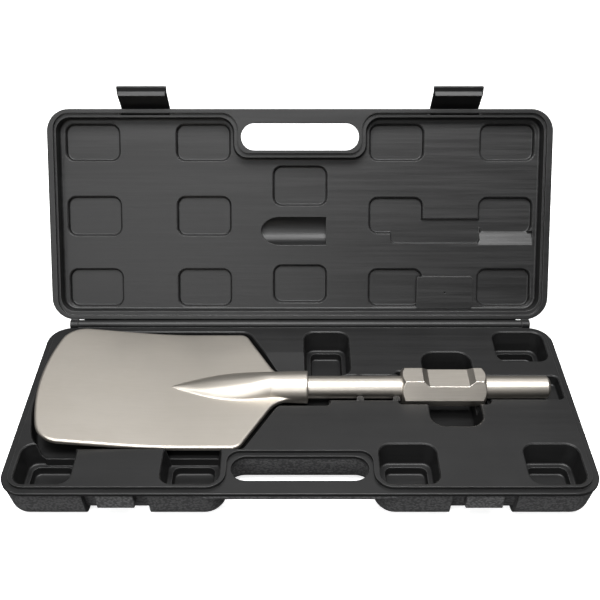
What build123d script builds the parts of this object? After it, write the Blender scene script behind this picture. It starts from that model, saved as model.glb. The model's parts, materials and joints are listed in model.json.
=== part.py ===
from build123d import *
import os
from math import radians, sin, tan

# Clay-spade bit for a hex-shank demolition hammer, lying in its own twin-wall carry case.
# Millimetres. X runs along the bit (blade at -X), Y towards the hinge, Z up from the case's bottom.

# ---------------------------------------------------------------- case, both halves
CASE_LENGTH = 454.0
CASE_DEPTH = 190.0
CASE_CORNER_R = 20.0
BASE_HEIGHT = 35.0  # bottom to the rim plane
LID_HEIGHT = 30.0  # rim plane to the lid's outside face
RIM_THICK = 3.0
RIM_GAP = 0.2  # between the two rims when the lid is shut
OUTER_SKIN = 2.2
INNER_SKIN = 1.8
WALL_SETBACK = 0.8  # the textured wall starts this far behind the rim's edge
WALL_DRAFT = 8.0
BASE_EDGE_R = 14.0
LID_EDGE_R = 11.0
RIM_EDGE_R = 0.7

# ---------------------------------------------------------------- carry handle
HOLE_LENGTH = 106.0
HOLE_WIDTH = 24.0
GRIP_WIDTH = 12.6  # rim's front edge to the hole
GRIP_DEPTH = 9.0
GRIP_EDGE_R = 4.5
NOTCH_MARGIN = 0.4  # hole to the wall that stands behind it
NOTCH_FRONT_R = 20.0
NOTCH_BACK_R = 10.0

# ---------------------------------------------------------------- raised deck and the lid's step over it
DECK_STEP = 3.0
STEP_GAP = 0.6  # lid's step to the deck's border, all round
DECK_TOP_GAP = 0.3  # lid's shelf to the deck
LID_STEP_INSET = (5.4, 3.6)  # from the rim's edge, along X and along Y
STEP_CORNER_R = 14.6
STEP_NOTCH_MARGIN = 2.3  # wall's notch to the lid's step, round the handle
STEP_NOTCH_R = 15.0
TRAY_LAP = 1.2  # height over which the tray's skirt meets the rim's inner face
PANEL_LAP = 0.5  # width over which the lid panel rests on the rim
PANEL_GAP = 0.1  # panel's edge to the outside wall
SHELF_WIDTH = (1.8, 3.6)  # lid's step to its inner wall, along X and along Y
PANEL_DRAFT = 3.0
LID_FLOOR_DEPTH = 15.0
EDGE_BREAK = 0.8  # chamfer round every opening in the deck

# ---------------------------------------------------------------- bit
HEX_FLATS = 28.575  # 1-1/8 in across flats
SHANK_DIAMETER = 19.05
SHANK_END = 208.4
SHANK_END_CHAMFER = 2.0
HEX_START = 85.0
HEX_LENGTH = 69.0
HEX_CHAMFER = 2.6
CATCH_NOTCH_LENGTH = 43.0  # retainer notch in the hexagon's top flat
CATCH_NOTCH_START = 17.0
CATCH_NOTCH_DEPTH = 3.7
CATCH_NOTCH_SLOPE = 5.0
BIT_Y = 14.5
SOCKET_DIAMETER = 27.5
SOCKET_ROOT_DIAMETER = 25.8
SOCKET_END = 6.7
SOCKET_START = -24.0
SOCKET_BORE_DEPTH = 25.0
BLADE_THICK = 4.5
BLADE_WIDTH = 133.6
BLADE_TIP = -216.0
BLADE_TIP_BOW = 12.5
BLADE_TIP_R = 22.0
BLADE_SHOULDER = -48.3
BLADE_SHOULDER_R = 9.0
BLADE_NECK = -19.0
BLADE_NECK_WIDTH = 27.0
BLADE_NECK_R = 22.0
BLADE_DROP = 2.0  # blade's middle plane below the shank's axis
BLADE_EDGE_R = 1.5
SWEEP_START = -92.0  # the blade turns up from here to its tip
SWEEP_RADIUS = 450.0
SWEEP_ANGLE = 6.3

# ---------------------------------------------------------------- nest for the bit
SEAT_GAP = 0.3  # bit to what carries it
NEST_GAP = 4.0
NEST_TIP_GAP = 3.0
NEST_BORDER = 0.1  # nest's wall to the deck's skirt
NEST_DEPTH = 14.0
NEST_DRAFT = 4.0
PLINTH = (-172.0, -62.0, 44.0)  # start, end and half width of the blade's rest
SOCKET_BAY = (-26.0, 25.0, 21.0)  # start, end and half width along the bit
SHANK_BAY = (22.0, 86.0, 14.8)
HEX_BAY_GAP = (4.0, 3.0)  # beyond the hexagon's ends, beside its corners
TAIL_BAY_WIDTH = 13.8
TAIL_BAY_END = 219.0
BAY_DRAFT = 4.0
WELL_START = 105.5  # finger well across the bit
WELL_LENGTH = 43.0
WELL_WIDTH = 88.0
WELL_DEPTH = 26.0
WELL_R = 12.0
NUB_PLACES = (50.0, 80.0)
NUB_R = 3.0

# ---------------------------------------------------------------- tack-off cups in the deck
CUP_R = 9.5
CUP_LEDGE_DEPTH = 21.5
CUP_DRAFT = 5.0
CUP_LEDGE = 4.0
CUP_FLOOR_DEPTH = 28.5
CUP_FLOOR_R = 5.5
CORNER_CUP = (43.5, 39.5)
FRONT_CUP = (45.0, 39.5)
BACK_CUP = (45.3, 38.6)
BAY_CUP = (40.0, 56.3)
CORNER_CUP_X = 194.75
FRONT_CUP_X = 83.4
FRONT_CUP_Y = -68.0
BACK_CUP_Y = 66.0
BAY_CUP_PLACE = (23.5, 57.2)
RAMP = (-34.0, 4.5, 32.0, 58.0, 4.0)  # X from, X to, Y from, Y to and depth of the sloped patch

# ---------------------------------------------------------------- pockets and reliefs in the lid
POCKET_WIDTH = 49.5
POCKET_R = 8.0
POCKET_DEPTH = 4.4
POCKET_DRAFT = 10.0
POCKET_FLOOR_R = 1.0
POCKET_BREAK = 0.7  # chamfer round every pocket in the lid's floor
OUTER_COLUMN_X = 189.5
INNER_COLUMN_X = 88.5
POCKET_ROWS = ((-66.3, 33.0), (0.7, 36.0), (67.0, 35.0))  # Y of the centre, size along Y
SHORT_POCKET = (0.0, 33.0)  # the middle row beside the hexagon's relief
MIDDLE_POCKETS = ((-27.0, 36.0), (63.5, 35.0))
SOCKET_RELIEF = (-36.0, 24.2, 14.9)  # start, end and radius of the half-round relief
SOCKET_RELIEF_DEPTH = 7.6
SOCKET_RELIEF_NOSE = 18.0
HEX_RELIEF_GAP = (1.5, 2.0)  # beyond the hexagon's blade end, beside its top flat
HEX_RELIEF_END = 167.0
TAIL_RELIEF_WIDTH = 25.8
TAIL_RELIEF_END = 215.0
LABEL_PAD = (52.7, 30.6, 1.5)
LABEL_PAD_Y = 71.7
VENT_DIAMETER = 1.6

# ---------------------------------------------------------------- hinge
HINGE_SETBACK = 4.5  # axis behind the rims' back edge, in the rim plane
BARREL_DIAMETER = 8.0
BARREL_LENGTH = 406.0
EAR_GAP = 0.4
EAR_WIDTH = 7.0
HINGE_PIN_DIAMETER = 3.2
HINGE_PIN_DEPTH = 20.0  # length held in the barrel
RUNNING_GAP = 0.05
OPEN_ANGLE = 122.0
STOP_LENGTH = 398.0

# ---------------------------------------------------------------- latches
LATCH_X = 139.0
LATCH_WIDTH = 43.5
LATCH_THICK = 2.2
LATCH_SIDE_GAP = 0.5
LATCH_PIN_DIAMETER = 2.5
LATCH_BARREL_R = 2.4
LATCH_PIN_Y = 2.6  # behind the rim's front edge
LATCH_PIN_Z = 5.8  # above the rim plane
LATCH_REACH = 26.5  # pin to the tip, along the shut latch
LATCH_REST = 30.0
LATCH_POCKET_HEIGHT = 8.5
SEAT_WIDTH = 49.5  # recess in the base's front wall
SEAT_DEPTH = 6.0
CATCH_WIDTH = 28.5
CATCH_HEIGHT = 14.1
HOOK_WIDTH = 41.5

# ---------------------------------------------------------------- places that follow
RIM_Z = BASE_HEIGHT
DECK_Z = RIM_Z + DECK_STEP
LID_Z = RIM_Z + RIM_GAP
SHELF_Z = DECK_Z + DECK_TOP_GAP + RIM_GAP
LID_FLOOR_Z = RIM_Z + LID_FLOOR_DEPTH
LID_TOP_Z = RIM_Z + LID_HEIGHT
BIT_Z = DECK_Z
BLADE_Z = BIT_Z - BLADE_DROP
FRONT = -CASE_DEPTH / 2
BACK = CASE_DEPTH / 2
HOLE_Y = FRONT + GRIP_WIDTH + HOLE_WIDTH / 2
HINGE_Y = BACK + HINGE_SETBACK
HINGE_AXIS = Axis((0, HINGE_Y, RIM_Z), (1, 0, 0))
LATCH_AXIS = Axis((0, FRONT + LATCH_PIN_Y, RIM_Z + LATCH_PIN_Z), (1, 0, 0))
HEX_END = HEX_START + HEX_LENGTH
SHANK_R = SHANK_DIAMETER / 2
CUP_FLOOR_Z = DECK_Z - CUP_FLOOR_DEPTH
CATCH_BOTTOM = RIM_Z - RIM_THICK - CATCH_HEIGHT
SIDES = (-1, 1)


# ---------------------------------------------------------------- small helpers
def block(x, y, z):
    """A box given by its low and high X, Y and Z."""
    size = [high - low for low, high in (x, y, z)]
    middle = [(high + low) / 2 for low, high in (x, y, z)]
    return Pos(*middle) * Box(*size)


def plate(outline, low, high):
    """An outline in plan, made solid between two heights."""
    return extrude(Pos(0, 0, low) * outline, high - low)


def draw(outline, start, end, draft, edge_r=0.0):
    """A drafted prism from one height to another, its far edge rounded."""
    prism = extrude(Pos(0, 0, start) * outline, end - start, taper=draft)
    if not edge_r:
        return prism
    far = prism.faces().sort_by(Axis.Z)[-1 if end > start else 0]
    return fillet(far.edges(), edge_r)


def grown(outline, amount):
    """The outline moved outwards by an amount, or inwards where it is negative."""
    return offset(outline, amount, kind=Kind.ARC) if amount else outline


def place_of(x0, x1, y0, y1):
    """A rectangle in plan, given by its edges."""
    return Pos((x0 + x1) / 2, (y0 + y1) / 2) * Rectangle(x1 - x0, y1 - y0)


def rounded(width, height, radius, x=0.0, y=0.0):
    return Pos(x, y) * RectangleRounded(width, height, radius)


def corners(sketch, x, y):
    """The corners of a sketch at plus and minus x, at y."""
    return [v for v in sketch.vertices() if abs(abs(v.X) - x) < 0.01 and abs(v.Y - y) < 0.01]


def cross_section(x, y, z):
    """A plane square to the bit at X, its own axes along Y and Z."""
    return Plane(origin=(x, y, z), x_dir=(0, 1, 0), z_dir=(1, 0, 0))


def along_x(profile, start, end, y=0.0, z=0.0):
    """A profile drawn in Y and Z, made solid from one X to another."""
    return extrude(cross_section(start, y, z) * profile, end - start)


def rod(radius, start, end, y, z):
    return along_x(Circle(radius), start, end, y, z)


# ---------------------------------------------------------------- outlines of the case
def notched(inset_x, inset_y, corner_r, notch_half, notch_back, front_r, back_r):
    """The case's plan, inset from the rim, with the bay behind the handle cut out."""
    front = FRONT + inset_y
    shape = RectangleRounded(CASE_LENGTH - 2 * inset_x, CASE_DEPTH - 2 * inset_y, corner_r)
    shape -= place_of(-notch_half, notch_half, front, notch_back)
    shape = fillet(corners(shape, notch_half, front), front_r)
    return fillet(corners(shape, notch_half, notch_back), back_r)


WALL_NOTCH_X = HOLE_LENGTH / 2 + NOTCH_MARGIN
WALL_NOTCH_Y = HOLE_Y + HOLE_WIDTH / 2 + NOTCH_MARGIN


def wall_outline():
    """The outside of both halves' walls, where they meet the rim."""
    corner_r = CASE_CORNER_R - WALL_SETBACK
    return notched(WALL_SETBACK, WALL_SETBACK, corner_r, WALL_NOTCH_X, WALL_NOTCH_Y,
                   NOTCH_FRONT_R, NOTCH_BACK_R)


def step_outline(inset=0.0):
    """The lid's step over the deck, or a line inset from it."""
    inset_x, inset_y = (edge + inset for edge in LID_STEP_INSET)
    margin = STEP_NOTCH_MARGIN + inset
    return notched(inset_x, inset_y, STEP_CORNER_R - inset, WALL_NOTCH_X + margin,
                   WALL_NOTCH_Y + margin, STEP_NOTCH_R - inset, NOTCH_BACK_R + inset)


def panel_outline():
    """The lid's inner wall where it leaves the shelf."""
    inset_x, inset_y = (edge + shelf for edge, shelf in zip(LID_STEP_INSET, SHELF_WIDTH))
    margin = STEP_NOTCH_MARGIN + SHELF_WIDTH[1]
    shelf = SHELF_WIDTH[0]
    return notched(inset_x, inset_y, STEP_CORNER_R - shelf, WALL_NOTCH_X + margin,
                   WALL_NOTCH_Y + margin, STEP_NOTCH_R - shelf, NOTCH_BACK_R + shelf)


def rim_plate(low, high):
    """The rim as a full plate, its outer edges broken."""
    full = plate(RectangleRounded(CASE_LENGTH, CASE_DEPTH, CASE_CORNER_R), low, high)
    ends = full.faces().sort_by(Axis.Z)
    return fillet([*ends[0].edges(), *ends[-1].edges()], RIM_EDGE_R)


def handle_hole():
    return Pos(0, HOLE_Y) * SlotOverall(HOLE_LENGTH, HOLE_WIDTH)


def grip(low, high, rounded_side):
    """The bar in front of the hand hole; rounded_side is 0 for its low and -1 for its high face."""
    reach = WALL_NOTCH_X + NOTCH_FRONT_R
    bar = block((-reach, reach), (FRONT, FRONT + GRIP_WIDTH), (low, high))
    face = bar.faces().sort_by(Axis.Z)[rounded_side]
    return fillet(face.edges().filter_by(Axis.X), GRIP_EDGE_R)


# ---------------------------------------------------------------- cups, shared by tray and base
def cup_list():
    """Each cup's size and centre."""
    corner = [(CORNER_CUP, (side * CORNER_CUP_X, FRONT_CUP_Y)) for side in SIDES]
    front = [(FRONT_CUP, (side * FRONT_CUP_X, FRONT_CUP_Y)) for side in SIDES]
    return [*corner, *front, (BACK_CUP, (CORNER_CUP_X, BACK_CUP_Y)), (BAY_CUP, BAY_CUP_PLACE)]


def cup_mouth(size, place, skin=0.0):
    return rounded(size[0] + 2 * skin, size[1] + 2 * skin, CUP_R + skin, *place)


def cup_floor_inset():
    """How far a cup's lower stage lies inside its mouth."""
    return CUP_LEDGE_DEPTH * tan(radians(CUP_DRAFT)) + CUP_LEDGE


def cup_floor_outline(size, place, inset=0.0):
    shrink = 2 * (cup_floor_inset() + inset)
    return rounded(size[0] - shrink, size[1] - shrink, max(CUP_FLOOR_R - inset, 1.0), *place)


def cup(size, place, skin=0.0):
    """A cup's space, or its outside where a skin is given."""
    upper = draw(cup_mouth(size, place, skin), DECK_Z, DECK_Z - CUP_LEDGE_DEPTH - skin, CUP_DRAFT, 1.5 + skin)
    ledge = DECK_Z - CUP_LEDGE_DEPTH + (1.0 if not skin else 0.0)
    lower = draw(cup_floor_outline(size, place, -skin), ledge, CUP_FLOOR_Z - skin, CUP_DRAFT, 1.5 + skin)
    return upper + lower


# ---------------------------------------------------------------- base
def base_cavity():
    """The room between the base's two walls, open at the top to the tray."""
    inside = draw(grown(wall_outline(), -OUTER_SKIN), RIM_Z - RIM_THICK, OUTER_SKIN, WALL_DRAFT,
                  BASE_EDGE_R - OUTER_SKIN)
    room = inside + plate(tray_outline(), RIM_Z - RIM_THICK, RIM_Z)
    for side in SIDES:
        room -= latch_seat(side, OUTER_SKIN)
    for size, place in cup_list():
        room -= draw(cup_floor_outline(size, place, -OUTER_SKIN), 0, CUP_FLOOR_Z - INNER_SKIN, CUP_DRAFT)
    return room


def tray_outline():
    """The deck's border, which fits inside the lid's step."""
    return step_outline(STEP_GAP)


def latch_seat(side, skin=0.0):
    """The recess that takes a shut latch, or the room that its walls need."""
    half = SEAT_WIDTH / 2 + skin
    middle = side * LATCH_X
    roof = RIM_Z - RIM_THICK - 0.4
    room = block((middle - half, middle + half), (FRONT - 5, FRONT + 45), (-1, roof + 0.9 * skin))
    inset = 2 * (WALL_SETBACK + SEAT_DEPTH + skin)
    back = RectangleRounded(CASE_LENGTH - inset, CASE_DEPTH - inset, CASE_CORNER_R)
    room -= plate(back, RIM_Z - RIM_THICK, RIM_Z)
    return room - draw(back, RIM_Z - RIM_THICK, skin, WALL_DRAFT, BASE_EDGE_R - skin)


def catch_block(side):
    """The ledge that a latch's hook snaps under."""
    half = CATCH_WIDTH / 2
    middle = side * LATCH_X
    back = FRONT + WALL_SETBACK + SEAT_DEPTH + 2.5
    shape = block((middle - half, middle + half), (FRONT + 0.6, back), (CATCH_BOTTOM, RIM_Z - RIM_THICK))
    front_face = shape.faces().sort_by(Axis.Y)[0]
    return fillet(front_face.edges().filter_by(Axis.Z), 1.0)


def hinge_barrel():
    """The long knuckle and the web that carries it."""
    half = BARREL_LENGTH / 2
    knuckle = rod(BARREL_DIAMETER / 2, -half, half, HINGE_Y, RIM_Z)
    web = block((-half, half), (BACK - 0.5, HINGE_Y), (RIM_Z - 3.5, RIM_Z - 0.5))
    return knuckle + web


def lid_stop():
    """The long rib behind the barrel, on which the open lid's wall comes to rest."""
    corner_y, corner_z = 5.8, 2.2
    slope = tan(radians(OPEN_ANGLE - WALL_DRAFT - 90))
    far = 10.0
    points = [(2.0, -3.4), (far, -3.4), (far, corner_z - slope * (far - corner_y)), (corner_y, corner_z),
              (2.0, 0.0)]
    profile = make_face(Polyline(*points, close=True))
    return along_x(profile, -STOP_LENGTH / 2, STOP_LENGTH / 2, HINGE_Y, RIM_Z)


def base_outer_shell():
    """Textured outside wall, bottom, rim, handle and hinge barrel of the base."""
    top = RIM_Z - RIM_THICK
    shell = draw(wall_outline(), top, 0, WALL_DRAFT, BASE_EDGE_R) + rim_plate(top, RIM_Z)
    shell += grip(RIM_Z - GRIP_DEPTH, RIM_Z - RIM_THICK / 2, 0)
    shell -= base_cavity()
    for side in SIDES:
        shell -= latch_seat(side)
    for side in SIDES:
        shell += catch_block(side)
    shell -= plate(handle_hole(), -1, RIM_Z + 1)
    for size, place in cup_list():
        dimple = cup_floor_outline(size, place)
        shell -= draw(dimple, -1, CUP_FLOOR_Z - INNER_SKIN - OUTER_SKIN, CUP_DRAFT)
    shell += hinge_barrel() + lid_stop()
    for side in SIDES:
        shell -= hinge_pin(side)
    return shell


def nest_outline():
    """The blade's place in the deck: its own outline with room round it, kept clear of the handle."""
    room = grown(blade_outline(), NEST_GAP)
    handle_side = WALL_NOTCH_Y + STEP_NOTCH_MARGIN + STEP_GAP + INNER_SKIN + NEST_BORDER
    return room & place_of(BLADE_TIP - NEST_TIP_GAP, 0, handle_side, BACK)


def nest_shelf():
    """The edge of the nest's floor, which stands over the cups beside the blade."""
    top = DECK_Z - NEST_DEPTH
    inset = NEST_DEPTH * tan(radians(NEST_DRAFT))
    return plate(grown(nest_outline(), -inset), DECK_Z - CUP_LEDGE_DEPTH - 1, top + 0.5)


def bay_list():
    """The stretches of the shank's channel: start, end, half width and floor."""
    hex_gap, hex_side = HEX_BAY_GAP
    hex_half = HEX_FLATS / 3 ** 0.5 + hex_side
    round_floor = BIT_Z - SHANK_R - SEAT_GAP
    return [(*SOCKET_BAY, BIT_Z - SOCKET_DIAMETER / 2 - SEAT_GAP),
            (*SHANK_BAY, round_floor),
            (HEX_START - hex_gap, HEX_END + hex_gap, hex_half, BIT_Z - HEX_FLATS / 2 - SEAT_GAP),
            (HEX_END, TAIL_BAY_END, TAIL_BAY_WIDTH, round_floor)]


def nest_spaces(skin=0.0):
    """What the deck leaves open for the bit, or the outside of its walls where a skin is given."""
    spaces = [draw(grown(nest_outline(), skin), DECK_Z, DECK_Z - NEST_DEPTH - skin, NEST_DRAFT, 2 + skin)]
    for start, end, half, floor in bay_list():
        outline = rounded(end - start + 2 * skin, 2 * (half + skin), 4 + skin, (start + end) / 2, BIT_Y)
        spaces.append(draw(outline, DECK_Z, floor - skin, BAY_DRAFT, 1.5 + skin))
    well = rounded(WELL_LENGTH + 2 * skin, WELL_WIDTH + 2 * skin, WELL_R + skin,
                   WELL_START + WELL_LENGTH / 2, BIT_Y)
    spaces.append(draw(well, DECK_Z, DECK_Z - WELL_DEPTH - skin, BAY_DRAFT, 3 + skin))
    return spaces


def edge_breaks():
    """The chamfers where the nest, the bays, the well and the cups meet the deck."""
    outlines = [nest_outline()]
    for start, end, half, floor in bay_list():
        outlines.append(rounded(end - start, 2 * half, 4, (start + end) / 2, BIT_Y))
    outlines.append(rounded(WELL_LENGTH, WELL_WIDTH, WELL_R, WELL_START + WELL_LENGTH / 2, BIT_Y))
    outlines += [rounded(*size, CUP_R, *place) for size, place in cup_list()]
    return [draw(grown(outline, EDGE_BREAK), DECK_Z, DECK_Z - EDGE_BREAK, 45) for outline in outlines]


def blade_plinth(skin=0.0):
    """The rest under the flat of the blade, or the hollow below it where a skin is given."""
    start, end, half = PLINTH
    top = BLADE_Z - BLADE_THICK / 2 - SEAT_GAP
    outline = rounded(end - start - 2 * skin, 2 * (half - skin), 10 - skin, (start + end) / 2, BIT_Y)
    return draw(outline, DECK_Z - NEST_DEPTH - skin, top - skin, NEST_DRAFT, 2)


def shank_nub(place, side):
    """A rib on the channel's wall that steadies the round shank."""
    half = SHANK_BAY[2]
    inner = SHANK_R + SEAT_GAP
    floor = BIT_Z - SHANK_R - SEAT_GAP
    y = BIT_Y + side * (inner + NUB_R)
    rib = Pos(place, y, (floor + DECK_Z) / 2) * Cylinder(NUB_R, DECK_Z - floor)
    filler = block((place - NUB_R, place + NUB_R), sorted((y, BIT_Y + side * (half + 0.5))), (floor, DECK_Z))
    return rib + filler


def deck_ramp():
    """The sloped patch of the deck between the nest and the back cup."""
    x0, x1, y0, y1, depth = RAMP
    slope = make_face(Polyline((y1, 0.01), (y0, 0.01), (y0, -depth), close=True))
    return along_x(slope, x0, x1, 0, DECK_Z)


def base_inner_tray():
    """The deck with the nest for the bit and the cups that brace the base."""
    border = tray_outline()
    tray = plate(border, DECK_Z - INNER_SKIN, DECK_Z)
    tray += plate(border - grown(border, -INNER_SKIN), RIM_Z - TRAY_LAP, DECK_Z - INNER_SKIN)
    tray += Pos(0, 0, -INNER_SKIN) * (deck_ramp() & plate(border, 0, DECK_Z))
    for space in [*nest_spaces(INNER_SKIN), *(cup(*c, INNER_SKIN) for c in cup_list())]:
        tray += space
    for space in [*(cup(*c) - nest_shelf() for c in cup_list()), *edge_breaks(), deck_ramp()]:
        tray -= space
    nest, *bays = nest_spaces()
    tray -= nest - blade_plinth()
    for space in bays:
        tray -= space
    tray -= blade_plinth(INNER_SKIN)
    for place in NUB_PLACES:
        for side in SIDES:
            tray += shank_nub(place, side)
    return tray


# ---------------------------------------------------------------- lid, modelled shut and then opened
def opened(shape):
    """A lid piece turned from shut to its stop."""
    return shape.rotate(HINGE_AXIS, -OPEN_ANGLE)


def latch_pocket(side, wall=0.0):
    """The window in the lid's front wall that the latch turns in, or that window with its walls."""
    half = LATCH_WIDTH / 2 + LATCH_SIDE_GAP + wall
    middle = side * LATCH_X
    low = LID_Z + RIM_THICK
    front = FRONT - 5 if not wall else FRONT + WALL_SETBACK + 0.4
    back = LATCH_AXIS.position.Y + LATCH_BARREL_R + 0.2
    return block((middle - half, middle + half), (front, back), (low, low + LATCH_POCKET_HEIGHT + wall))


def hinge_ear(side):
    """One of the lid's two knuckles, beyond the ends of the barrel."""
    inner = BARREL_LENGTH / 2 + EAR_GAP
    start, end = sorted((side * inner, side * (inner + EAR_WIDTH)))
    ring = rod(BARREL_DIAMETER / 2, start, end, HINGE_Y, RIM_Z)
    arm = block((start, end), (BACK - 1.0, HINGE_Y), (LID_Z + 0.1, LID_Z + RIM_THICK))
    return ring + arm - rod(HINGE_PIN_DIAMETER / 2 + RUNNING_GAP, start - 1, end + 1, HINGE_Y, RIM_Z)


def lid_outer_shell():
    """Textured outside wall, top, rim, handle and hinge ears of the lid, shut."""
    low = LID_Z + RIM_THICK
    shell = draw(wall_outline(), low, LID_TOP_Z, WALL_DRAFT, LID_EDGE_R) + rim_plate(LID_Z, low)
    shell += grip(LID_Z + RIM_THICK / 2, LID_Z + GRIP_DEPTH, -1)
    shell -= draw(grown(wall_outline(), -OUTER_SKIN), low, LID_TOP_Z - OUTER_SKIN, WALL_DRAFT,
                  LID_EDGE_R - OUTER_SKIN)
    shell -= plate(step_outline(), LID_Z - 1, low)
    shell -= plate(handle_hole(), LID_Z - 1, LID_TOP_Z)
    body = draw(wall_outline(), low, LID_TOP_Z, WALL_DRAFT)
    for side in SIDES:
        shell += latch_pocket(side, OUTER_SKIN) & body
    for side in SIDES:
        shell -= latch_pocket(side) + latch_pin(side, shut=True)
    for side in SIDES:
        shell += hinge_ear(side)
    return shell


def relief_list():
    """The lid floor's flat pockets: size and centre of each."""
    left = [(column, row) for column in (-OUTER_COLUMN_X, -INNER_COLUMN_X) for row in POCKET_ROWS]
    right = [(column, row) for column in (INNER_COLUMN_X, OUTER_COLUMN_X)
             for row in (POCKET_ROWS[0], SHORT_POCKET, POCKET_ROWS[2])]
    middle = [(0.0, row) for row in MIDDLE_POCKETS]
    return [((POCKET_WIDTH, size), (x, y)) for x, (y, size) in left + right + middle]


def hex_relief(skin=0.0):
    """Room over the shank's hexagon."""
    end_gap, side_gap = HEX_RELIEF_GAP
    above = LID_FLOOR_Z - BIT_Z
    half = HEX_FLATS / 3 ** 0.5 - above / 3 ** 0.5 + side_gap
    start, end = HEX_START - end_gap - skin, HEX_RELIEF_END + skin
    outline = rounded(end - start, 2 * (half + skin), 4 + skin, (start + end) / 2, BIT_Y)
    return draw(outline, LID_FLOOR_Z, LID_FLOOR_Z + POCKET_DEPTH + skin, POCKET_DRAFT)


def socket_relief(skin=0.0):
    """The half-round, pointed relief over the rib and socket."""
    start, end, radius = SOCKET_RELIEF
    axis_z = LID_FLOOR_Z + SOCKET_RELIEF_DEPTH - radius
    barrel = rod(radius + skin, start - skin, end + skin, BIT_Y, axis_z)
    chord = 2 * (radius ** 2 - (radius - SOCKET_RELIEF_DEPTH) ** 2) ** 0.5
    nose_end = start + SOCKET_RELIEF_NOSE
    nose = Pos(nose_end, BIT_Y) * Ellipse(SOCKET_RELIEF_NOSE + skin, chord / 2 + skin)
    nose += place_of(nose_end, end + skin, BIT_Y - chord, BIT_Y + chord)
    return barrel & plate(nose, LID_FLOOR_Z, LID_TOP_Z)


def tail_relief(skin=0.0):
    """The slope over the end of the shank, falling towards its middle."""
    y, size = SHORT_POCKET
    front = y + size / 2 - 2.0
    back = BIT_Y + TAIL_RELIEF_WIDTH / 2
    profile = make_face(Polyline((front - skin, 0), (back + skin, 0), (front - skin, POCKET_DEPTH + skin),
                                 close=True))
    return along_x(profile, HEX_RELIEF_END - 2, TAIL_RELIEF_END + skin, 0, LID_FLOOR_Z)


def lid_reliefs(skin=0.0):
    """Every pocket in the lid's floor, or the outside of their walls."""
    pockets = [draw(rounded(size[0] + 2 * skin, size[1] + 2 * skin, POCKET_R + skin, *place),
                    LID_FLOOR_Z, LID_FLOOR_Z + POCKET_DEPTH + skin, POCKET_DRAFT, POCKET_FLOOR_R + skin)
               for size, place in relief_list()]
    return [*pockets, hex_relief(skin), socket_relief(skin), tail_relief(skin)]


def pocket_breaks():
    """The chamfers where the flat pockets meet the lid's floor."""
    outlines = [rounded(*size, POCKET_R, *place) for size, place in relief_list()]
    return [draw(grown(outline, POCKET_BREAK), LID_FLOOR_Z, LID_FLOOR_Z + POCKET_BREAK, 45)
            for outline in outlines]


def lid_inner_panel():
    """The lid's inside wall: shelf over the deck, inner wall, floor, pockets and reliefs, shut."""
    low = LID_Z + RIM_THICK
    opening = panel_outline()
    panel = draw(grown(step_outline(), PANEL_LAP), low, SHELF_Z + INNER_SKIN, WALL_DRAFT)
    panel &= draw(grown(wall_outline(), -OUTER_SKIN - PANEL_GAP), low, LID_TOP_Z, WALL_DRAFT)
    panel -= plate(step_outline(), low, SHELF_Z)
    panel += draw(grown(opening, INNER_SKIN), SHELF_Z, LID_FLOOR_Z + INNER_SKIN, PANEL_DRAFT, 2 + INNER_SKIN)
    for relief in lid_reliefs(INNER_SKIN):
        panel += relief
    panel -= draw(opening, SHELF_Z, LID_FLOOR_Z, PANEL_DRAFT, 2)
    for relief in [*lid_reliefs(), *pocket_breaks()]:
        panel -= relief
    for side in SIDES:
        panel -= latch_pocket(side, OUTER_SKIN)
    width, height, rise = LABEL_PAD
    middle = HEX_START + HEX_LENGTH / 2 + 15
    pad = rounded(width, height, 3, middle, LABEL_PAD_Y)
    panel += draw(pad, LID_FLOOR_Z + INNER_SKIN / 2, LID_FLOOR_Z - rise, 10)
    return panel - Pos(middle, LABEL_PAD_Y, LID_FLOOR_Z) * Cylinder(VENT_DIAMETER / 2, 6)


# ---------------------------------------------------------------- hinge pins
def hinge_pin(side):
    """A steel pin, held in the barrel's end and running in the lid's ear."""
    end = BARREL_LENGTH / 2
    start, stop = sorted((side * (end - HINGE_PIN_DEPTH), side * (end + EAR_GAP + EAR_WIDTH)))
    return rod(HINGE_PIN_DIAMETER / 2, start, stop, HINGE_Y, RIM_Z)


# ---------------------------------------------------------------- latches
def latch_profile():
    """Section of a shut latch, its pin at the origin, Y towards the case."""
    inner = -LATCH_PIN_Y - 0.5
    outer = inner - LATCH_THICK
    tip = -LATCH_REACH
    plate_line = [(0.0, LATCH_BARREL_R), (inner, LATCH_BARREL_R), (outer, LATCH_BARREL_R - LATCH_THICK),
                  (outer, tip + 5.5), (outer - 3.4, tip), (outer - 1.2, tip - 1.4), (inner, tip + 4.0),
                  (inner, -1.0), (-1.5, -1.0), (0.0, 0.0)]
    return make_face(Polyline(*plate_line, close=True)) + Circle(LATCH_BARREL_R)


def hook_profile():
    """The inward rib that snaps under the catch block."""
    inner = -LATCH_PIN_Y - 0.5
    top = CATCH_BOTTOM - LATCH_AXIS.position.Z - 0.4
    points = [(inner - 1.0, top), (0.2, top), (0.2, top - 1.0), (inner, top - 2.2), (inner - 1.0, top - 2.2)]
    return make_face(Polyline(*points, close=True))


def latch(side):
    """A snap latch, shut: barrel, plate, finger lip and hook."""
    pin = LATCH_AXIS.position
    middle = side * LATCH_X
    half = LATCH_WIDTH / 2
    body = along_x(latch_profile(), middle - half, middle + half, pin.Y, pin.Z)
    body += along_x(hook_profile(), middle - HOOK_WIDTH / 2, middle + HOOK_WIDTH / 2, pin.Y, pin.Z)
    bore = LATCH_PIN_DIAMETER / 2 + RUNNING_GAP
    return body - rod(bore, middle - half - 1, middle + half + 1, pin.Y, pin.Z)


def opened_latch(side):
    """The latch swung out to where it rests, on the open lid."""
    return opened(latch(side).rotate(LATCH_AXIS, -LATCH_REST))


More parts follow.
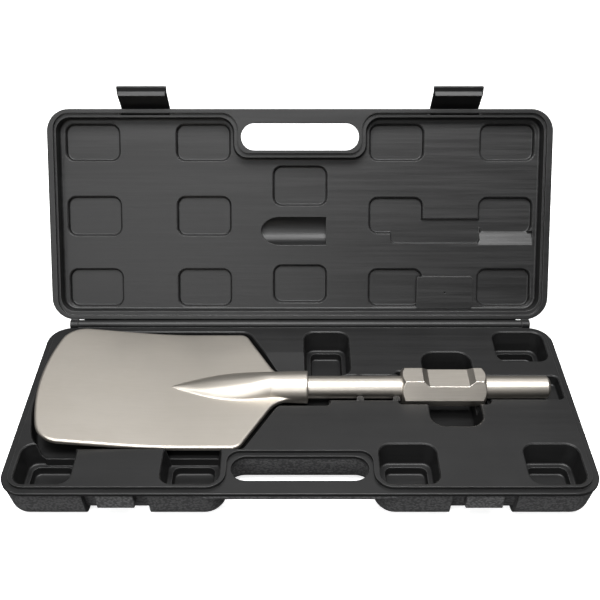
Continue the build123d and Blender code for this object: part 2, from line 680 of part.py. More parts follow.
def latch_pin(side, shut=False):
    """A steel pin across the latch's window, held in both of its walls."""
    half = LATCH_WIDTH / 2 + LATCH_SIDE_GAP + OUTER_SKIN
    middle = side * LATCH_X
    pin = rod(LATCH_PIN_DIAMETER / 2, middle - half, middle + half, LATCH_AXIS.position.Y,
              LATCH_AXIS.position.Z)
    return pin if shut else opened(pin)


# ---------------------------------------------------------------- bit
def blade_outline():
    """The blade in plan, with its rounded tip and the sloped shoulders down to the socket."""
    half = BLADE_WIDTH / 2
    neck = BLADE_NECK_WIDTH / 2
    corner = BLADE_TIP + BLADE_TIP_BOW
    tip = ThreePointArc((corner, half), (BLADE_TIP, 0), (corner, -half))
    sides = []
    for side in SIDES:
        sides.append(Polyline((corner, side * half), (BLADE_SHOULDER, side * half), (BLADE_NECK, side * neck),
                              (0, side * neck)))
    face = make_face([tip, *sides, Line((0, neck), (0, -neck))])
    face = fillet(corners(face, -corner, half) + corners(face, -corner, -half), BLADE_TIP_R)
    shoulders = corners(face, -BLADE_SHOULDER, half) + corners(face, -BLADE_SHOULDER, -half)
    face = fillet(shoulders, BLADE_SHOULDER_R)
    return Pos(0, BIT_Y) * fillet(corners(face, -BLADE_NECK, neck) + corners(face, -BLADE_NECK, -neck),
                                  BLADE_NECK_R)


def blade_plate():
    """The blade as a plate that sweeps up to its tip, its edges rounded."""
    flat = Line((10, 0), (SWEEP_START, 0))
    bend = JernArc(flat @ 1, (-1, 0), SWEEP_RADIUS, -SWEEP_ANGLE)
    slope = Line(bend @ 1, bend @ 1 + (bend % 1) * 100)
    side_view = trace([flat, bend, slope], BLADE_THICK)
    sheet = extrude(Plane.XZ * side_view, BLADE_WIDTH, both=True)
    sheet = Pos(0, BIT_Y, BLADE_Z) * sheet
    sheet &= plate(blade_outline(), BLADE_Z - 10, BLADE_Z + 40)
    around = [e for e in sheet.edges() if not near_upright(e)]
    return fillet(around, BLADE_EDGE_R)


def near_upright(edge):
    """Whether an edge joins the blade's two faces."""
    return edge.bounding_box().size.Z > BLADE_THICK * 0.9 and edge.length < BLADE_THICK * 1.2


def half_section(x, width, height, up):
    """Half of an ellipse, standing on the blade's middle plane or hanging below it."""
    ellipse = Ellipse(width, height)
    keep = place_of(-width - 1, width + 1, 0, height + 1) if up else place_of(-width - 1, width + 1,
                                                                             -height - 1, 0)
    return cross_section(x, BIT_Y, BLADE_Z) * (ellipse & keep)


def rib():
    """The raised rib that runs from the blade into the socket, and the shorter swell below it."""
    wide = SOCKET_ROOT_DIAMETER / 2
    top = wide + BLADE_DROP
    bottom = wide - BLADE_DROP
    proud, sunk = 0.2, 0.5
    inside = SOCKET_START + 7
    upper = [(-108, 1.2, 2.5), (-96, 6.0, 4.2), (-78, 11.6, 7.2), (-58, 15.0, 10.4), (-40, 14.9, 13.0),
             (SOCKET_START, wide + proud, top + proud), (inside, wide - sunk, top - sunk)]
    lower = [(-62, 1.5, 2.5), (-50, 7.6, 4.8), (-38, 11.4, 7.8),
             (SOCKET_START, wide + proud, bottom + proud), (inside, wide - sunk, bottom - sunk)]
    above = loft([half_section(*section, True) for section in upper])
    below = loft([half_section(*section, False) for section in lower])
    return above + below


def spade_blade():
    """Blade, rib and socket: one forging."""
    ends = ((SOCKET_START, SOCKET_ROOT_DIAMETER), (SOCKET_END, SOCKET_DIAMETER))
    socket = loft([cross_section(x, BIT_Y, BIT_Z) * Circle(diameter / 2) for x, diameter in ends])
    mouth = socket.faces().sort_by(Axis.X)[-1]
    socket = fillet(mouth.edges(), 1.2)
    forging = blade_plate() + rib() + socket
    return forging - rod(SHANK_R, SOCKET_END - SOCKET_BORE_DEPTH, SOCKET_END + 1, BIT_Y, BIT_Z)


def hexagon():
    """The driving hexagon, a flat on top, its corners turned off at both ends."""
    prism = along_x(RegularPolygon(HEX_FLATS / 2, 6, major_radius=False), HEX_START, HEX_END, BIT_Y, BIT_Z)
    turned = rod(HEX_FLATS / 3 ** 0.5 + 0.1, HEX_START, HEX_END, BIT_Y, BIT_Z)
    turned = chamfer(turned.edges().filter_by(GeomType.CIRCLE), HEX_CHAMFER)
    return prism & turned


def retainer_notch():
    """The sloped-ended notch in the top flat that a hammer's retainer drops into."""
    start = HEX_START + CATCH_NOTCH_START
    end = start + CATCH_NOTCH_LENGTH
    top = BIT_Z + HEX_FLATS / 2
    floor = top - CATCH_NOTCH_DEPTH
    slope = CATCH_NOTCH_SLOPE
    profile = make_face(Polyline((start, top), (start + slope, floor), (end - slope, floor), (end, top),
                                 (end, top + 5), (start, top + 5), close=True))
    return extrude(Plane.XZ * profile, 60, both=True)


def hex_shank():
    """The bar: round where it enters the socket, hexagon, and round tail."""
    start = SOCKET_END - SOCKET_BORE_DEPTH
    bar = rod(SHANK_R, start, SHANK_END, BIT_Y, BIT_Z)
    tail = bar.faces().sort_by(Axis.X)[-1]
    bar = chamfer(tail.edges(), SHANK_END_CHAMFER)
    return bar + hexagon() - retainer_notch()


# ---------------------------------------------------------------- write every piece
def pieces():
    """Each named piece of the kit, at rest: lid open on its stop, latches hanging out."""
    return {
        "base_outer_shell": base_outer_shell(),
        "base_inner_tray": base_inner_tray(),
        "hinge_pin_left": hinge_pin(-1),
        "hinge_pin_right": hinge_pin(1),
        "lid_outer_shell": opened(lid_outer_shell()),
        "lid_inner_panel": opened(lid_inner_panel()),
        "latch_pin_left": latch_pin(-1),
        "latch_pin_right": latch_pin(1),
        "latch_left": opened_latch(-1),
        "latch_right": opened_latch(1),
        "spade_blade": spade_blade(),
        "hex_shank": hex_shank(),
    }


os.makedirs("parts", exist_ok=True)
for name, shape in pieces().items():
    export_step(shape, f"parts/{name}.step")
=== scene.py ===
"""Finishes, studio and camera for a clay-spade bit lying in its blow-moulded carry case."""

import json
import logging
import math
from dataclasses import dataclass, field
from enum import Enum

import bmesh
import bpy
from mathutils import Matrix, Vector


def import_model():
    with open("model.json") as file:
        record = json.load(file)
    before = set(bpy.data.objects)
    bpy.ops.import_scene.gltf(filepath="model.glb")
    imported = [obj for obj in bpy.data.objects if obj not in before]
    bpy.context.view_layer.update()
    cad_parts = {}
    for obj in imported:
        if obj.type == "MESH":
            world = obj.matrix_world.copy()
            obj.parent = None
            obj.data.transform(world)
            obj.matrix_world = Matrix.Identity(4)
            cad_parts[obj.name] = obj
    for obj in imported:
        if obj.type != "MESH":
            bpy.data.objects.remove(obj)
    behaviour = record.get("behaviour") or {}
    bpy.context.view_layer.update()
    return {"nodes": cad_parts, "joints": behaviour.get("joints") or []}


LOG = logging.getLogger("clay_spade_case")
MM = 0.001
RIM_GAP = 0.2 * MM  # between the two rims on the shut case
SPLIT_BLEND = 0.3 * MM  # half the height over which one mould texture gives way to the other
NICKEL_SHEEN = (0.70, 0.66, 0.60, 1.0)  # plating where a tool has polished it
NICKEL_EDGE_HIGHLIGHT = (0.78, 0.75, 0.69, 1.0)  # painted highlight along the steel's outer and inner edges


class Side(Enum):
    """Which end of the case a paired piece is on."""

    LEFT = -1
    RIGHT = 1


class Texture(Enum):
    """The surface that a wall's mould was given."""

    SATIN = "satin"
    PEBBLE = "pebble"


# ---------------------------------------------------------------- shader building


@dataclass
class Graph:
    """One node tree, with short calls that add nodes and join them.

    Attributes:
        tree: The tree that the nodes are added to.
    """

    tree: bpy.types.NodeTree

    def add(self, kind: str, values: dict | None = None, **settings: object) -> bpy.types.Node:
        """Adds a node.

        Args:
            kind: The node's Blender type, such as "ShaderNodeMath".
            values: Socket name or index to a number, colour or output socket.
            settings: Properties set on the node itself.

        Returns:
            The new node.
        """
        node = self.tree.nodes.new(kind)
        for name, value in settings.items():
            setattr(node, name, value)
        for key, value in (values or {}).items():
            self.feed(node, key, value)
        return node

    def feed(self, node: bpy.types.Node, key: str | int, value: object) -> None:
        """Sets one input of a node, or joins an output to it.

        Args:
            node: The node whose input it is.
            key: The input's name or index.
            value: A number, a colour, a vector or an output socket.
        """
        if isinstance(value, bpy.types.NodeSocket):
            self.tree.links.new(value, node.inputs[key])
        else:
            node.inputs[key].default_value = value

    def math(self, operation: str, a: object, b: object = 0.0, clamp: bool = False) -> bpy.types.NodeSocket:
        """Returns the output of a Math node on two values or sockets."""
        node = self.add("ShaderNodeMath", {0: a, 1: b}, operation=operation, use_clamp=clamp)
        return node.outputs[0]

    def ramp(self, value: object, low: float, high: float, to_low: float = 0.0, to_high: float = 1.0,
             smooth: bool = True) -> bpy.types.NodeSocket:
        """Maps a value from one range to another.

        Args:
            value: The socket to map.
            low: Where the source range starts.
            high: Where the source range ends.
            to_low: What the start becomes.
            to_high: What the end becomes.
            smooth: Whether the change eases in and out.

        Returns:
            The mapped output.
        """
        kind = "SMOOTHSTEP" if smooth else "LINEAR"
        sockets = {"Value": value, "From Min": low, "From Max": high, "To Min": to_low, "To Max": to_high}
        return self.add("ShaderNodeMapRange", sockets, interpolation_type=kind).outputs[0]

    def blend(self, share: object, a: object, b: object) -> bpy.types.NodeSocket:
        """Returns colour a turned towards colour b by a share."""
        node = self.add("ShaderNodeMix", data_type="RGBA")
        for index, value in ((0, share), (6, a), (7, b)):
            self.feed(node, index, value)
        return node.outputs[2]


class Effects:
    """The surface effects that several finishes share, each a node group made once."""

    def __init__(self) -> None:
        """Makes every group."""
        self.grain = self._grain()
        self.pebble = self._pebble()
        self.flow = self._flow()
        self.edge = self._edge()
        self.dust = self._dust()

    @staticmethod
    def _start(name: str, inputs: dict[str, tuple[str, float]], outputs: dict[str, str]) -> tuple:
        """Makes an empty group with its sockets.

        Args:
            name: The group's name.
            inputs: Input name to its kind, Float or Vector, and its default.
            outputs: Output name to its kind.

        Returns:
            The group, its graph, its input node and its output node.
        """
        group = bpy.data.node_groups.new(name, "ShaderNodeTree")
        for label, (kind, default) in inputs.items():
            socket = group.interface.new_socket(label, in_out="INPUT", socket_type=f"NodeSocket{kind}")
            if kind == "Float":
                socket.default_value = default
        for label, kind in outputs.items():
            group.interface.new_socket(label, in_out="OUTPUT", socket_type=f"NodeSocket{kind}")
        graph = Graph(group)
        return group, graph, graph.add("NodeGroupInput"), graph.add("NodeGroupOutput")

    def _grain(self) -> bpy.types.NodeTree:
        """Fine even grain, as blasting or a spark-eroded mould leaves."""
        inputs = {"Vector": ("Vector", 0.0), "Scale": ("Float", 900.0)}
        outputs = {"Height": "Float", "Mottle": "Float"}
        group, graph, given, result = self._start("fine_grain", inputs, outputs)
        vector, scale = given.outputs["Vector"], given.outputs["Scale"]
        fine = graph.add("ShaderNodeTexNoise", {"Vector": vector, "Scale": scale, "Detail": 3.0})
        broad = graph.math("MULTIPLY", scale, 0.02)
        mottle = graph.add("ShaderNodeTexNoise", {"Vector": vector, "Scale": broad, "Detail": 4.0})
        graph.feed(result, "Height", fine.outputs[0])
        graph.feed(result, "Mottle", graph.ramp(mottle.outputs[0], 0.3, 0.7))
        return group

    def _pebble(self) -> bpy.types.NodeTree:
        """Raised pebbles with worn tops, the leather-like grain of the case's outside."""
        inputs = {"Vector": ("Vector", 0.0), "Scale": ("Float", 500.0)}
        outputs = {"Height": "Float", "CreviceShade": "Float"}
        group, graph, given, result = self._start("pebble_grain", inputs, outputs)
        vector, scale = given.outputs["Vector"], given.outputs["Scale"]
        drift = graph.add("ShaderNodeTexNoise", {"Vector": vector, "Scale": 90.0, "Detail": 2.0})
        moved = graph.add("ShaderNodeVectorMath", {0: drift.outputs["Color"], 1: (0.002, 0.002, 0.002)},
                          operation="MULTIPLY")
        place = graph.add("ShaderNodeVectorMath", {0: vector, 1: moved.outputs[0]}, operation="ADD")
        cells = graph.add("ShaderNodeTexVoronoi", {"Vector": place.outputs[0], "Scale": scale},
                          feature="SMOOTH_F1")
        cells.inputs["Smoothness"].default_value = 0.35
        distance = cells.outputs["Distance"]
        graph.feed(result, "Height", graph.ramp(distance, 0.62, 0.12))
        # Painted shade: a mask for the crevices between the pebbles, where shade falls.
        graph.feed(result, "CreviceShade", graph.ramp(distance, 0.38, 0.68))
        return group

    def _flow(self) -> bpy.types.NodeTree:
        """Faint lines drawn out along X, where the parison stretched."""
        inputs = {"Vector": ("Vector", 0.0), "Scale": ("Float", 260.0)}
        outputs = {"Height": "Float", "Streak": "Float"}
        group, graph, given, result = self._start("flow_lines", inputs, outputs)
        stretch = graph.add("ShaderNodeVectorMath", {0: given.outputs["Vector"], 1: (0.035, 1.0, 1.0)},
                            operation="MULTIPLY")
        fine = graph.add("ShaderNodeTexNoise", {"Vector": stretch.outputs[0], "Scale": given.outputs["Scale"],
                                                "Detail": 5.0, "Roughness": 0.62})
        wide = graph.add("ShaderNodeTexNoise", {"Vector": stretch.outputs[0], "Scale": 45.0, "Detail": 2.0})
        both = graph.math("MULTIPLY_ADD", wide.outputs[0], 0.6)
        graph.feed(both.node, 2, fine.outputs[0])
        graph.feed(result, "Height", fine.outputs[0])
        graph.feed(result, "Streak", graph.ramp(both, 0.62, 1.0))
        return group

    def _edge(self) -> bpy.types.NodeTree:
        """Moulded edges: a rounded normal, and how near an outer or inner edge is."""
        inputs = {"Radius": ("Float", 0.0007)}
        group, graph, given, result = self._start("edge_round", inputs, {"Normal": "Vector", "Edge": "Float"})
        rounded = graph.add("ShaderNodeBevel", {"Radius": given.outputs["Radius"]}, samples=6)
        true = graph.add("ShaderNodeNewGeometry")
        pair = {0: rounded.outputs[0], 1: true.outputs["Normal"]}
        along = graph.add("ShaderNodeVectorMath", pair, operation="DOT_PRODUCT")
        graph.feed(result, "Normal", rounded.outputs[0])
        graph.feed(result, "Edge", graph.ramp(along.outputs["Value"], 0.995, 0.86))
        return group

    def _dust(self) -> bpy.types.NodeTree:
        """A thin uneven bloom on faces that look up."""
        inputs = {"Vector": ("Vector", 0.0), "Amount": ("Float", 0.2)}
        group, graph, given, result = self._start("dust_bloom", inputs, {"Mask": "Float"})
        normal = graph.add("ShaderNodeNewGeometry").outputs["Normal"]
        up = graph.add("ShaderNodeSeparateXYZ", {0: normal}).outputs["Z"]
        vector = given.outputs["Vector"]
        cloud = graph.add("ShaderNodeTexNoise", {"Vector": vector, "Scale": 26.0, "Detail": 6.0})
        patches = graph.math("MULTIPLY", graph.ramp(cloud.outputs[0], 0.38, 0.72), graph.ramp(up, 0.2, 0.95))
        graph.feed(result, "Mask", graph.math("MULTIPLY", patches, given.outputs["Amount"]))
        return group


@dataclass(frozen=True)
class HingeFrame:
    """The opened lid's place, for patterns that follow the lid as it was moulded.

    Attributes:
        axis: A point on the hinge's axis, in metres.
        angle: How far the lid stands open, in degrees.
    """

    axis: tuple[float, float, float]
    angle: float

    def mapping(self) -> tuple[Vector, tuple[float, float, float]]:
        """Returns the location and rotation that lay the opened lid's points back on the shut case."""
        turn = Matrix.Rotation(math.radians(self.angle), 3, "X")
        axis = Vector(self.axis)
        return axis - turn @ axis, (math.radians(self.angle), 0.0, 0.0)


# ---------------------------------------------------------------- finishes


@dataclass(frozen=True)
class MouldedPlastic:
    """Charcoal polyethylene, satin where the mould was polished and pebbled where it was etched.

    Attributes:
        name: The material's name.
        colour: The body colour.
        edge_highlight: The colour of the painted highlight along its outer and inner edges.
        roughness: Roughness of the satin surface.
        texture: The texture beyond the split height.
        split: Height at which the texture starts, in metres, measured on the shut case.
        texture_above: Whether the texture lies above the split.
        flow: How strongly the flow lines show.
        edge_radius: Radius of its moulded edges, in metres.
        lid: The lid's frame, where the piece stands open with the lid.
    """

    name: str
    colour: tuple[float, float, float, float] = (0.0066, 0.0066, 0.0067, 1.0)
    # Painted highlight colour for the edges, outer and inner.
    edge_highlight: tuple[float, float, float, float] = (0.075, 0.075, 0.074, 1.0)
    roughness: float = 0.37
    texture: Texture = Texture.SATIN
    split: float = 0.0
    texture_above: bool = True
    flow: float = 0.5
    edge_radius: float = 0.0008
    lid: HingeFrame | None = None

    def material(self, effects: Effects) -> bpy.types.Material:
        """Builds the material.

        Args:
            effects: The shared node groups.

        Returns:
            The new material.
        """
        material = bpy.data.materials.new(self.name)
        material.use_nodes = True
        graph = Graph(material.node_tree)
        shader = material.node_tree.nodes["Principled BSDF"]
        vector = self._place(graph)
        flow = graph.add("ShaderNodeGroup", {}, node_tree=effects.flow)
        grain = graph.add("ShaderNodeGroup", {}, node_tree=effects.grain)
        edge = graph.add("ShaderNodeGroup", {"Radius": self.edge_radius}, node_tree=effects.edge)
        dust = graph.add("ShaderNodeGroup", {}, node_tree=effects.dust)
        for group in (flow, grain, dust):
            graph.feed(group, "Vector", vector)
        share, height, crevice_shade = self._pebbles(graph, effects, vector)
        smooth_share = graph.math("SUBTRACT", 1.0, share)
        streak = graph.math("MULTIPLY", flow.outputs["Streak"], smooth_share)
        tone = graph.blend(graph.math("MULTIPLY", streak, 0.80 * self.flow), self.colour, self._paler(2.4))
        tone = graph.blend(graph.math("MULTIPLY", grain.outputs["Mottle"], 0.35), tone, self._paler(1.35))
        # Painted light: the pebbled outside is painted far paler than the satin plastic, a lit copy of the
        # same plastic standing in for light thrown up from the floor.
        tone = graph.blend(graph.math("MULTIPLY", share, 0.9), tone, self._paler(19.0))
        # Painted shade: the crevices between the pebbles are painted darker than the painted-pale pebble
        # tops.
        tone = graph.blend(graph.math("MULTIPLY", crevice_shade, 0.75), tone, self._paler(6.5))
        tone = graph.blend(dust.outputs["Mask"], tone, self._paler(2.6))
        # Painted highlight: outer and inner edges are blended towards a much paler colour.
        tone = graph.blend(graph.math("MULTIPLY", edge.outputs["Edge"], 0.55), tone, self.edge_highlight)
        graph.feed(shader, "Base Color", tone)
        rough = graph.math("MULTIPLY_ADD", streak, 0.10)
        graph.feed(rough.node, 2, self.roughness)
        rough = graph.math("ADD", rough, graph.math("MULTIPLY", share, 0.12))
        rough = graph.math("SUBTRACT", rough, graph.math("MULTIPLY", edge.outputs["Edge"], 0.08))
        graph.feed(shader, "Roughness", rough)
        self._relief(graph, shader, edge, flow, grain, height)
        shader.inputs["Specular IOR Level"].default_value = 0.34
        return material

    def _place(self, graph: Graph) -> bpy.types.NodeSocket:
        """Returns Object coordinates, laid back on the shut case where the piece is the lid's."""
        vector = graph.add("ShaderNodeTexCoord").outputs["Object"]
        if self.lid is None:
            return vector
        location, rotation = self.lid.mapping()
        laid = graph.add("ShaderNodeMapping", {"Vector": vector, "Location": location, "Rotation": rotation})
        return laid.outputs[0]

    def _pebbles(self, graph: Graph, effects: Effects, vector: bpy.types.NodeSocket) -> tuple:
        """Returns the share of the pebble texture, its height and its crevices."""
        if self.texture is Texture.SATIN:
            return 0.0, 0.0, 0.0
        group = graph.add("ShaderNodeGroup", {"Vector": vector}, node_tree=effects.pebble)
        level = graph.add("ShaderNodeSeparateXYZ", {0: vector}).outputs["Z"]
        ends = (self.split - SPLIT_BLEND, self.split + SPLIT_BLEND)
        share = graph.ramp(level, *(ends if self.texture_above else reversed(ends)))
        height = graph.math("MULTIPLY", group.outputs["Height"], share)
        crevice_shade = graph.math("MULTIPLY", group.outputs["CreviceShade"], share)
        return share, height, crevice_shade

    def _paler(self, factor: float) -> tuple[float, float, float, float]:
        """Returns the body colour made paler or darker."""
        red, green, blue, _ = self.colour
        return red * factor, green * factor, blue * factor, 1.0

    def _relief(self, graph: Graph, shader: bpy.types.Node, edge: bpy.types.Node, flow: bpy.types.Node,
                grain: bpy.types.Node, height: object) -> None:
        """Feeds the shader's normal with edges, grain, flow lines and pebbles.

        Args:
            graph: The material's graph.
            shader: The shader to feed.
            edge: The edge group.
            flow: The flow group.
            grain: The grain group.
            height: The pebbles' height.
        """
        fine = graph.add("ShaderNodeBump", {"Strength": 0.10, "Distance": 0.0003,
                                            "Normal": edge.outputs["Normal"],
                                            "Height": grain.outputs["Height"]})
        lines = graph.add("ShaderNodeBump", {"Strength": 0.30 * self.flow, "Distance": 0.0005,
                                             "Normal": fine.outputs[0], "Height": flow.outputs["Height"]})
        last = lines.outputs[0]
        if self.texture is Texture.PEBBLE:
            bumps = graph.add("ShaderNodeBump", {"Strength": 0.55, "Distance": 0.0004, "Normal": last,
                                                 "Height": height})
            last = bumps.outputs[0]
        graph.feed(shader, "Normal", last)


@dataclass(frozen=True)
class BlastedSteel:
    """Forged steel, shot-blasted and nickel-plated to a warm satin.

    Attributes:
        name: The material's name.
        colour: The plating's colour.
        shadow: The colour of its mottle.
        roughness: How widely it scatters a highlight.
        edge_radius: Radius of its forged edges, in metres.
        tooling: How strongly turning or grinding marks show.
    """

    name: str
    colour: tuple[float, float, float, float] = (0.51, 0.475, 0.425, 1.0)
    shadow: tuple[float, float, float, float] = (0.49, 0.455, 0.405, 1.0)
    roughness: float = 0.40
    edge_radius: float = 0.0010
    tooling: float = 0.3

    def material(self, effects: Effects) -> bpy.types.Material:
        """Builds the material.

        Args:
            effects: The shared node groups.

        Returns:
            The new material.
        """
        material = bpy.data.materials.new(self.name)
        material.use_nodes = True
        graph = Graph(material.node_tree)
        shader = material.node_tree.nodes["Principled BSDF"]
        vector = graph.add("ShaderNodeTexCoord").outputs["Object"]
        grain = graph.add("ShaderNodeGroup", {"Vector": vector, "Scale": 1300.0}, node_tree=effects.grain)
        flow = graph.add("ShaderNodeGroup", {"Vector": vector, "Scale": 700.0}, node_tree=effects.flow)
        edge = graph.add("ShaderNodeGroup", {"Radius": self.edge_radius}, node_tree=effects.edge)
        tone = graph.blend(grain.outputs["Mottle"], self.colour, self.shadow)
        streak = graph.math("MULTIPLY", flow.outputs["Streak"], 0.35 * self.tooling)
        tone = graph.blend(streak, tone, NICKEL_SHEEN)
        # Painted highlight: the steel's outer and inner edges are blended towards a paler colour.
        tone = graph.blend(graph.math("MULTIPLY", edge.outputs["Edge"], 0.5), tone, NICKEL_EDGE_HIGHLIGHT)
        graph.feed(shader, "Base Color", tone)
        rough = graph.math("MULTIPLY_ADD", grain.outputs["Mottle"], 0.06)
        graph.feed(rough.node, 2, self.roughness)
        rough = graph.math("SUBTRACT", rough, graph.math("MULTIPLY", edge.outputs["Edge"], 0.06))
        graph.feed(shader, "Roughness", rough)
        blast = graph.add("ShaderNodeBump", {"Strength": 0.22, "Distance": 0.0002,
                                             "Normal": edge.outputs["Normal"],
                                             "Height": grain.outputs["Height"]})
        marks = graph.add("ShaderNodeBump", {"Strength": 0.12 * self.tooling, "Distance": 0.0002,
                                             "Normal": blast.outputs[0], "Height": flow.outputs["Height"]})
        graph.feed(shader, "Normal", marks.outputs[0])
        shader.inputs["Metallic"].default_value = 1.0
        return material


@dataclass(frozen=True)
class BackdropPaper:
    """Matt white paper for the floor, lit through from below and throwing little light back up.

    Attributes:
        name: The material's name.
        colour: The paper's colour.
        bounce: The colour that it has for the light it throws on the case.
        glow: How brightly it is lit through.
    """

    name: str = "backdrop_paper"
    colour: tuple[float, float, float, float] = (0.93, 0.93, 0.93, 1.0)
    bounce: tuple[float, float, float, float] = (0.05, 0.05, 0.05, 1.0)
    glow: float = 0.75

    def material(self) -> bpy.types.Material:
        """Builds the material and returns it."""
        material = bpy.data.materials.new(self.name)
        material.use_nodes = True
        graph = Graph(material.node_tree)
        shader = material.node_tree.nodes["Principled BSDF"]
        seen = graph.add("ShaderNodeLightPath").outputs["Is Camera Ray"]
        graph.feed(shader, "Base Color", graph.blend(seen, self.bounce, self.colour))
        graph.feed(shader, "Emission Strength", graph.math("MULTIPLY", seen, self.glow))
        shader.inputs["Emission Color"].default_value = (1.0, 1.0, 1.0, 1.0)
        shader.inputs["Roughness"].default_value = 0.9
        shader.inputs["Specular IOR Level"].default_value = 0.1
        return material


# ---------------------------------------------------------------- sub-assemblies


@dataclass
class Model:
    """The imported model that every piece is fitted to.

    Attributes:
        nodes: CAD node name to its object.
        joints: The record's joints.
    """

    nodes: dict[str, bpy.types.Object]
    joints: list[dict]

    def hinge(self) -> HingeFrame:
        """Returns the lid's hinge frame, from the joint's own place and travel."""
        joint = next(joint for joint in self.joints if joint["name"] == "lid_hinge")
        return HingeFrame(tuple(joint["pos_m"]), joint["range_deg"][1])

    def dress(self, name: str, material: bpy.types.Material) -> None:
        """Gives a CAD node a finish.

        Args:
            name: The node's name.
            material: The finish for all of its slots.
        """
        node = self.nodes[name]
        if not node.material_slots:
            node.data.materials.append(material)
        for slot in node.material_slots:
            slot.material = material
        LOG.info("dressed %s with %s", name, material.name)


@dataclass
class CarryCase:
    """Both double-walled halves of the case.

    Attributes:
        model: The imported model.
        effects: The shared node groups.
        rim_plane: Height of the split between the halves, in metres.
        rim_thick: Thickness of each half's rim, in metres.
    """

    model: Model
    effects: Effects
    rim_plane: float = 35.0 * MM
    rim_thick: float = 3.0 * MM

    def build(self) -> None:
        """Dresses the base, the tray, the lid and its panel."""
        lid = self.model.hinge()
        below = self.rim_plane - self.rim_thick
        above = self.rim_plane + self.rim_thick + RIM_GAP
        base = MouldedPlastic("base_pebbled_plastic", texture=Texture.PEBBLE, split=below,
                              texture_above=False, flow=0.3)
        tray = MouldedPlastic("tray_satin_plastic", flow=0.35)
        cover = MouldedPlastic("lid_pebbled_plastic", texture=Texture.PEBBLE, split=above, flow=0.3, lid=lid)
        panel = MouldedPlastic("lid_satin_plastic", flow=1.0, lid=lid)
        self.model.dress("base_outer_shell", base.material(self.effects))
        self.model.dress("base_inner_tray", tray.material(self.effects))
        self.model.dress("lid_outer_shell", cover.material(self.effects))
        self.model.dress("lid_inner_panel", panel.material(self.effects))


@dataclass
class Latches:
    """The two snap latches and every steel pin.

    Attributes:
        model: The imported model.
        effects: The shared node groups.
    """

    model: Model
    effects: Effects

    def build(self) -> None:
        """Dresses the latches and the pins."""
        plastic = MouldedPlastic("latch_plastic", colour=(0.0065, 0.0065, 0.0068, 1.0), flow=0.2,
                                 roughness=0.40)
        wire = BlastedSteel("pin_wire", colour=(0.55, 0.55, 0.55, 1.0), shadow=(0.42, 0.42, 0.43, 1.0),
                            roughness=0.28, edge_radius=0.0003)
        latch_finish = plastic.material(self.effects)
        pin_finish = wire.material(self.effects)
        for side in Side:
            word = side.name.lower()
            self.model.dress(f"latch_{word}", latch_finish)
            self.model.dress(f"latch_pin_{word}", pin_finish)
            self.model.dress(f"hinge_pin_{word}", pin_finish)


@dataclass
class ClaySpade:
    """The bit: blade with its socket, and the hexagonal shank.

    Attributes:
        model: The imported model.
        effects: The shared node groups.
    """

    model: Model
    effects: Effects

    def build(self) -> None:
        """Dresses the blade and the shank."""
        blade = BlastedSteel("blade_satin_nickel", edge_radius=0.0022, tooling=0.2)
        shank = BlastedSteel("shank_satin_nickel", edge_radius=0.0008, roughness=0.36, tooling=0.6)
        self.model.dress("spade_blade", blade.material(self.effects))
        self.model.dress("hex_shank", shank.material(self.effects))


# ---------------------------------------------------------------- studio


@dataclass
class SoftBox:
    """One rectangular studio light.

    Attributes:
        name: The light's name.
        place: Where it hangs, in metres.
        aim: What it points at.
        size: Its width and height, in metres.
        power: Its power, in watts.
        warmth: Its colour.
    """

    name: str
    place: tuple[float, float, float]
    aim: tuple[float, float, float]
    size: tuple[float, float]
    power: float
    warmth: tuple[float, float, float] = (1.0, 1.0, 1.0)

    def build(self) -> bpy.types.Object:
        """Hangs the light and returns its object."""
        light = bpy.data.lights.new(self.name, "AREA")
        light.shape = "RECTANGLE"
        light.size, light.size_y = self.size
        light.energy = self.power
        light.color = self.warmth
        holder = bpy.data.objects.new(self.name, light)
        holder.location = self.place
        direction = Vector(self.aim) - Vector(self.place)
        holder.rotation_euler = direction.to_track_quat("-Z", "Y").to_euler()
        bpy.context.scene.collection.objects.link(holder)
        return holder


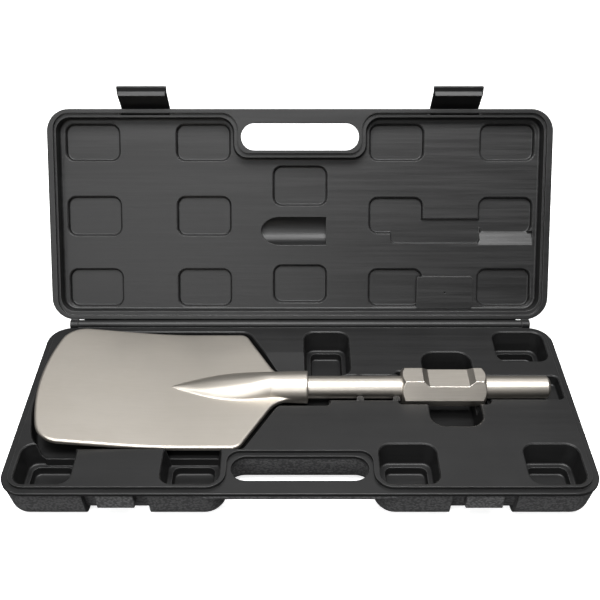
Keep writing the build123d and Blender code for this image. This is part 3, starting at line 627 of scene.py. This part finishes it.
@dataclass
class Studio:
    """A white floor, a dim even surround and three soft boxes.

    Attributes:
        floor_size: Half the floor's width, in metres.
        surround: Brightness of the surround.
        boxes: The lights.
    """

    floor_size: float = 6.0
    surround: float = 0.12
    boxes: list[SoftBox] = field(default_factory=lambda: [
        SoftBox("overhead_box", (0.0, -0.40, 1.5), (0.0, 0.0, 0.0), (1.3, 0.7), 46.0),
        SoftBox("front_box", (-0.5, -1.5, 0.9), (0.0, 0.0, 0.05), (1.4, 0.8), 12.5),
        SoftBox("rear_box", (0.1, 0.9, 1.4), (0.0, 0.0, 0.0), (1.6, 0.6), 5.0),
    ])

    def build(self) -> None:
        """Lays the floor, lights the surround and hangs the boxes."""
        mesh = bpy.data.meshes.new("studio_floor")
        shape = bmesh.new()
        bmesh.ops.create_grid(shape, x_segments=1, y_segments=1, size=self.floor_size)
        shape.to_mesh(mesh)
        shape.free()
        mesh.materials.append(BackdropPaper().material())
        floor = bpy.data.objects.new("studio_floor", mesh)
        bpy.context.scene.collection.objects.link(floor)
        world = bpy.data.worlds.new("studio_surround")
        world.use_nodes = True
        background = world.node_tree.nodes["Background"]
        background.inputs["Color"].default_value = (1.0, 1.0, 1.0, 1.0)
        background.inputs["Strength"].default_value = self.surround
        bpy.context.scene.world = world
        for box in self.boxes:
            box.build()
            LOG.info("hung %s", box.name)


@dataclass
class Viewpoint:
    """The camera, in front of the case and looking down on it.

    Attributes:
        place: Where the camera stands, in metres.
        pitch: How far below level it looks, in degrees.
        lens: Its focal length, in millimetres.
    """

    place: tuple[float, float, float] = (0.0, -0.499, 0.5428)
    pitch: float = 38.68
    lens: float = 51.2

    def build(self) -> None:
        """Makes the camera the scene's own."""
        camera = bpy.data.cameras.new("viewpoint")
        camera.sensor_width = 36.0
        camera.lens = self.lens
        holder = bpy.data.objects.new("viewpoint", camera)
        holder.location = self.place
        holder.rotation_euler = (math.radians(90.0 - self.pitch), 0.0, 0.0)
        bpy.context.scene.collection.objects.link(holder)
        bpy.context.scene.camera = holder


def main() -> None:
    """Builds every sub-assembly in order."""
    logging.basicConfig(level=logging.INFO, format="%(name)s: %(message)s")
    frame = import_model()
    model = Model(frame["nodes"], frame["joints"])
    effects = Effects()
    Viewpoint().build()
    for assembly in (CarryCase(model, effects), Latches(model, effects), ClaySpade(model, effects)):
        assembly.build()
    Studio().build()
    bpy.context.scene.view_settings.view_transform = "Standard"


if __name__ == "__main__":
    main()
